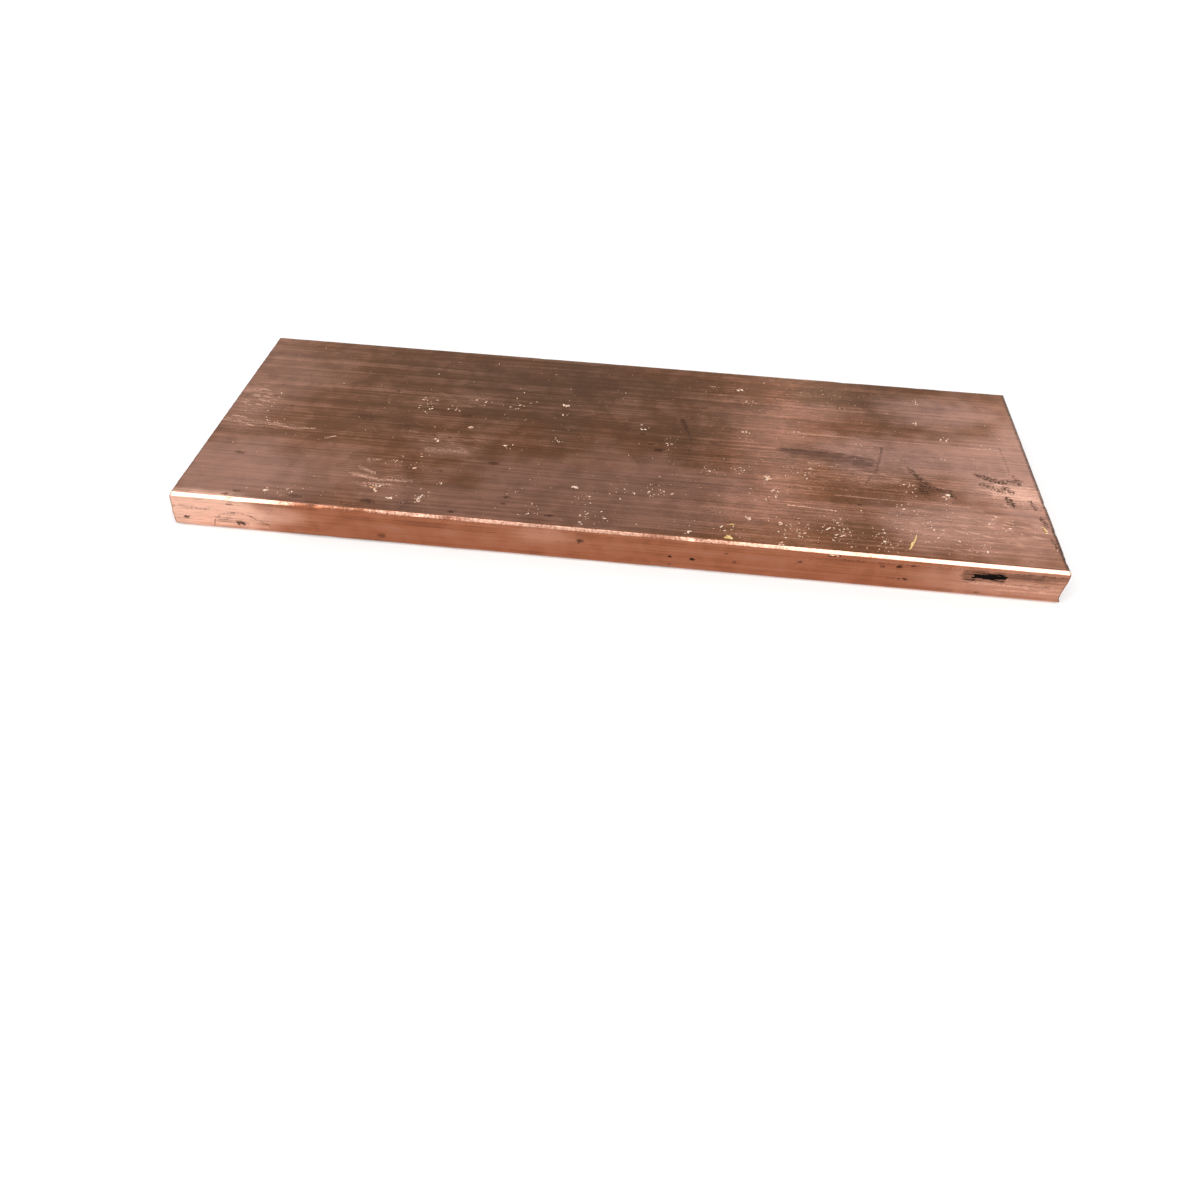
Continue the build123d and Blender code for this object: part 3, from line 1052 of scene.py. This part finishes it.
class Shaving(NamedTuple):
    """A thin shaving, in millimetres: its two ends on the top face, its width and how far its
    middle bows to the side."""

    start: tuple
    end: tuple
    width: float
    bow: float


SHAVINGS = (
    Shaving((73.2, -30.6), (70.6, -36.9), 0.5, 0.25),
    Shaving((71.9, -33.6), (71.3, -36.2), 0.4, -0.2),
    Shaving((27.2, -38.2), (29.4, -38.4), 0.75, 0.2),
    Shaving((27.8, -37.4), (29.0, -37.7), 0.5, -0.15),
    Shaving((28.4, -33.2), (29.8, -33.0), 0.35, 0.1),
    Shaving((104.2, -23.0), (104.9, -25.6), 0.4, 0.15),
)


def shaving_mesh(name, shavings):
    """Thin closed strips, one to a shaving, pointed at both ends. The middle line is straight
    plus a sideways bow of 4 t (1 - t), the half width is the square root of that, and the strip's
    top rises a little towards its middle."""
    share = np.linspace(0.02, 0.98, 13)
    arch = 4 * share * (1 - share)
    points, faces = [], []
    for number, shaving in enumerate(shavings):
        start, end = np.array(shaving.start), np.array(shaving.end)
        run = end - start
        side = np.array([-run[1], run[0]]) / np.linalg.norm(run)
        line = start + share[:, None] * run + (shaving.bow * arch)[:, None] * side
        half = 0.5 * shaving.width * np.sqrt(arch)[:, None] * side
        low = np.full(13, TOP_MM - 0.03)
        high = TOP_MM + 0.08 + 0.12 * arch
        rings = [
            np.column_stack([line - half, low]), np.column_stack([line + half, low]),
            np.column_stack([line + 0.7 * half, high]), np.column_stack([line - 0.7 * half, high]),
        ]
        points.append(np.stack(rings, axis=1).reshape(-1, 3))
        index = np.arange(52).reshape(13, 4) + 52 * number
        here, ahead = index[:-1], index[1:]
        walls = np.stack([here, np.roll(here, -1, 1), np.roll(ahead, -1, 1), ahead], axis=2)
        faces += walls.reshape(-1, 4).tolist() + [index[0][::-1].tolist(), index[-1].tolist()]
    mesh = bpy.data.meshes.new(name)
    mesh.from_pydata((np.concatenate(points) * MM).tolist(), [], faces)
    face_outward(mesh)
    return mesh


def shaving_material(colour):
    """Dry yellow shavings with a dull shine, a little darker in places."""
    material = bpy.data.materials.new("yellow_shaving")
    material.use_nodes = True
    nodes = Nodes(material.node_tree)
    shader = material.node_tree.nodes["Principled BSDF"]
    tone = nodes.noise(positions(nodes)[0], 2.0 / MM, 2.0)
    shade = nodes.mix(nodes.between(tone, 0.4, 0.7), colour, linear(196, 156, 92))
    material.node_tree.links.new(shade, shader.inputs["Base Color"])
    shader.inputs["Roughness"].default_value = 0.45
    return material


def swarf_material(swarf):
    """Bright cut metal, each stretch of it a little duller or yellower than the next."""
    material = bpy.data.materials.new("bright_swarf")
    material.use_nodes = True
    nodes = Nodes(material.node_tree)
    shader = material.node_tree.nodes["Principled BSDF"]
    tone = nodes.noise(positions(nodes)[0], 0.8 / MM, 2.0)
    colour = nodes.mix(nodes.between(tone, 0.4, 0.7), swarf.colour, linear(214, 150, 108))
    links = material.node_tree.links
    links.new(colour, shader.inputs["Base Color"])
    links.new(nodes.between(tone, 0.3, 0.7, 0.22, 0.45), shader.inputs["Roughness"])
    shader.inputs["Metallic"].default_value = 0.35
    return material


class COPPERBAR_OT_swarf(bpy.types.Operator):
    """Scatter metal dust and chips over the top face"""

    bl_idname = "copper_bar.scatter_swarf"
    bl_label = "Scatter Swarf"

    def execute(self, context):
        swarf = context.scene.bar_swarf
        rng = np.random.default_rng(11)
        places, scales = [], []
        for x, y, spread, count, scale in CHIP_CLUSTERS:
            places.append(rng.normal(0, 0.5 * spread, (count, 2)) + [x, y])
            scales.append(scale * rng.lognormal(-0.35, 0.4, count))
        spread = swarf.spread_chips
        places.append(rng.uniform([-104, -38], [105, 36], (spread, 2)))
        scales.append(0.6 * rng.lognormal(-0.4, 0.35, spread))
        flat = np.concatenate(places) * MM
        sizes = np.concatenate(scales) * swarf.chip_size
        margin = np.array([1.4, 1.0]) * MM
        inside = (np.abs(flat) < np.array([LENGTH, WIDTH]) / 2 - margin).all(axis=1)
        largest, sunk = 0.42 * MM, 0.02 * MM
        flat, sizes = flat[inside], np.minimum(sizes[inside], largest)
        spots_on_top = np.column_stack([flat, np.full(len(flat), TOP - sunk)])
        # Three chips caught on the front edge, where a small curl has lodged
        on_edge = np.array([(52.7, -39.8, 9.0), (54.0, -39.8, 8.9), (53.4, -39.8, 9.2)]) * MM
        places = np.concatenate([spots_on_top, on_edge])
        sizes = np.concatenate([sizes, np.array([0.55, 0.45, 0.35]) * MM])
        mesh = chip_mesh("swarf", places, sizes, rng)
        show_piece("swarf", mesh, swarf_material(swarf))
        mesh = shaving_mesh("yellow_shavings", SHAVINGS)
        show_piece("yellow_shavings", mesh, shaving_material(swarf.shaving))
        return {"FINISHED"}


def area_lamp(name, place, target, width, height, power, lean=0.0):
    """A rectangular lamp at a place, looking at a target and leaning by an angle."""
    data = bpy.data.lights.new(name, "AREA")
    data.shape = "RECTANGLE"
    data.size, data.size_y = width, height
    data.energy = power
    lamp = bpy.data.objects.new(name, data)
    look = Vector(place) - Vector(target)
    turn = look.to_track_quat("Z", "Y").to_matrix().to_4x4()
    lamp.matrix_world = Matrix.Translation(place) @ turn @ Matrix.Rotation(lean, 4, "Z")
    bpy.context.scene.collection.objects.link(lamp)
    return lamp


def floor_material(colour):
    """A matt pale floor. Part of its white is its own, for the camera and for reflections, so
    that it shows white without more light on the bar and still takes the bar's shadow."""
    material = bpy.data.materials.new("pale_floor")
    material.use_nodes = True
    nodes = Nodes(material.node_tree)
    shader = material.node_tree.nodes["Principled BSDF"]
    shader.inputs["Base Color"].default_value = (*colour, 1)
    shader.inputs["Roughness"].default_value = 0.9
    shader.inputs["Specular IOR Level"].default_value = 0.1
    path = nodes.add("ShaderNodeLightPath", output=None)
    seen = nodes.math("MAXIMUM", path.outputs["Is Camera Ray"], path.outputs["Is Glossy Ray"])
    seen = nodes.math("MAXIMUM", seen, path.outputs["Is Transmission Ray"])
    place = nodes.add("ShaderNodeTexCoord", output="Object")
    away = nodes.vector("LENGTH", place, output="Value")
    own_white = nodes.between(away, 0.12, 0.4, 0.3, 0.6)
    own_white = nodes.math("ADD", own_white, nodes.between(away, 0.8, 2.5, 0.0, 0.15))
    shader.inputs["Emission Color"].default_value = (1, 1, 1, 1)
    own_white = nodes.math("MULTIPLY", seen, own_white)
    material.node_tree.links.new(own_white, shader.inputs["Emission Strength"])
    return material


def white_world():
    """White for the camera, reflections and glass, and a softer grey as light on matt things."""
    world = bpy.data.worlds.new("studio")
    world.use_nodes = True
    nodes = Nodes(world.node_tree)
    background = world.node_tree.nodes["Background"]
    path = nodes.add("ShaderNodeLightPath", output=None)
    seen = nodes.math("MAXIMUM", path.outputs["Is Camera Ray"], path.outputs["Is Glossy Ray"])
    seen = nodes.math("MAXIMUM", seen, path.outputs["Is Transmission Ray"])
    world.node_tree.links.new(nodes.math("MAXIMUM", seen, 0.55), background.inputs["Strength"])
    background.inputs["Color"].default_value = (1, 1, 1, 1)
    return world


def place_camera(lens):
    """The photograph's camera: 42.5 degrees down, turned 4 degrees to the left of straight on
    and rolled 2.6 degrees, about a bar's width in front of the bar."""
    data = bpy.data.cameras.new("camera")
    data.lens = lens
    data.sensor_width = 36
    data.clip_start, data.clip_end = 0.01, 50
    camera = bpy.data.objects.new("camera", data)
    turn = Matrix.Rotation(radians(4.17), 4, "Z")
    tilt = Matrix.Rotation(radians(90 - 42.51), 4, "X")
    roll = Matrix.Rotation(radians(2.47), 4, "Z")
    camera.matrix_world = Matrix.Translation((0.01205, -0.22279, 0.15602)) @ turn @ tilt @ roll
    bpy.context.scene.collection.objects.link(camera)
    bpy.context.scene.camera = camera


class COPPERBAR_OT_stage(bpy.types.Operator):
    """Set up the floor, the lamps and the camera"""

    bl_idname = "copper_bar.set_stage"
    bl_label = "Set Stage"

    def execute(self, context):
        scene, look = context.scene, context.scene.bar_stage
        reach = 6.0
        mesh = bpy.data.meshes.new("floor")
        corners = [(-reach, -reach, 0), (reach, -reach, 0), (reach, reach, 0), (-reach, reach, 0)]
        mesh.from_pydata(corners, [], [(0, 1, 2, 3)])
        mesh.materials.append(floor_material(look.floor))
        floor = bpy.data.objects.new("floor", mesh)
        scene.collection.objects.link(floor)
        power = look.lamp_strength
        middle = (0, 0, 0.005)
        area_lamp("right_box", (0.46, -0.8, 1.1), middle, 0.6, 2.0, 8 * power)
        area_lamp("left_box", (-0.82, -0.8, 1.0), middle, 0.45, 2.0, 9 * power)
        streak, lean = (0.046, 0, 0.01), radians(5.4)
        area_lamp("window_lamp", (0.236, 1.25, 0.86), streak, 0.06, 1.3, 0.7 * power, lean)
        area_lamp("right_glow", (0.72, 1.25, 0.86), middle, 0.45, 1.1, 1.5 * power)
        area_lamp("left_glow", (-0.74, 1.25, 0.8), middle, 0.45, 1.1, 0.5 * power)
        scene.world = white_world()
        scene.view_settings.view_transform = "Standard"
        place_camera(look.lens)
        return {"FINISHED"}


class COPPERBAR_PT_panel(bpy.types.Panel):
    """The bar's settings and steps in the 3D view's sidebar"""

    bl_label = "Copper Bar"
    bl_idname = "COPPERBAR_PT_panel"
    bl_space_type = "VIEW_3D"
    bl_region_type = "UI"
    bl_category = "Copper Bar"

    def draw(self, context):
        for group_names, step in STEPS:
            box = self.layout.box()
            for group_name in group_names:
                group = getattr(context.scene, group_name)
                for name in group.bl_rna.properties.keys():
                    if name not in ("rna_type", "name"):
                        box.prop(group, name)
            box.operator(step)


STEPS = (
    (("bar_shape", "bar_finish"), "copper_bar.make_bar"),
    (("bar_swarf",), "copper_bar.scatter_swarf"),
    (("bar_stage",), "copper_bar.set_stage"),
)
GROUPS = {
    "bar_shape": BarShape, "bar_finish": BarFinish, "bar_swarf": SwarfShape, "bar_stage": StageLook,
}
CLASSES = (
    *GROUPS.values(), COPPERBAR_OT_bar, COPPERBAR_OT_swarf, COPPERBAR_OT_stage, COPPERBAR_PT_panel,
)


def register():
    """Adds the settings, the steps and the panel to Blender."""
    for cls in CLASSES:
        bpy.utils.register_class(cls)
    for name, group in GROUPS.items():
        setattr(bpy.types.Scene, name, bpy.props.PointerProperty(type=group))


def unregister():
    """Takes them out again."""
    for name in GROUPS:
        delattr(bpy.types.Scene, name)
    for cls in reversed(CLASSES):
        bpy.utils.unregister_class(cls)


def main():
    """Takes every step in order."""
    register()
    bpy.ops.copper_bar.make_bar()
    bpy.ops.copper_bar.scatter_swarf()
    bpy.ops.copper_bar.set_stage()


if __name__ == "__main__":
    main()
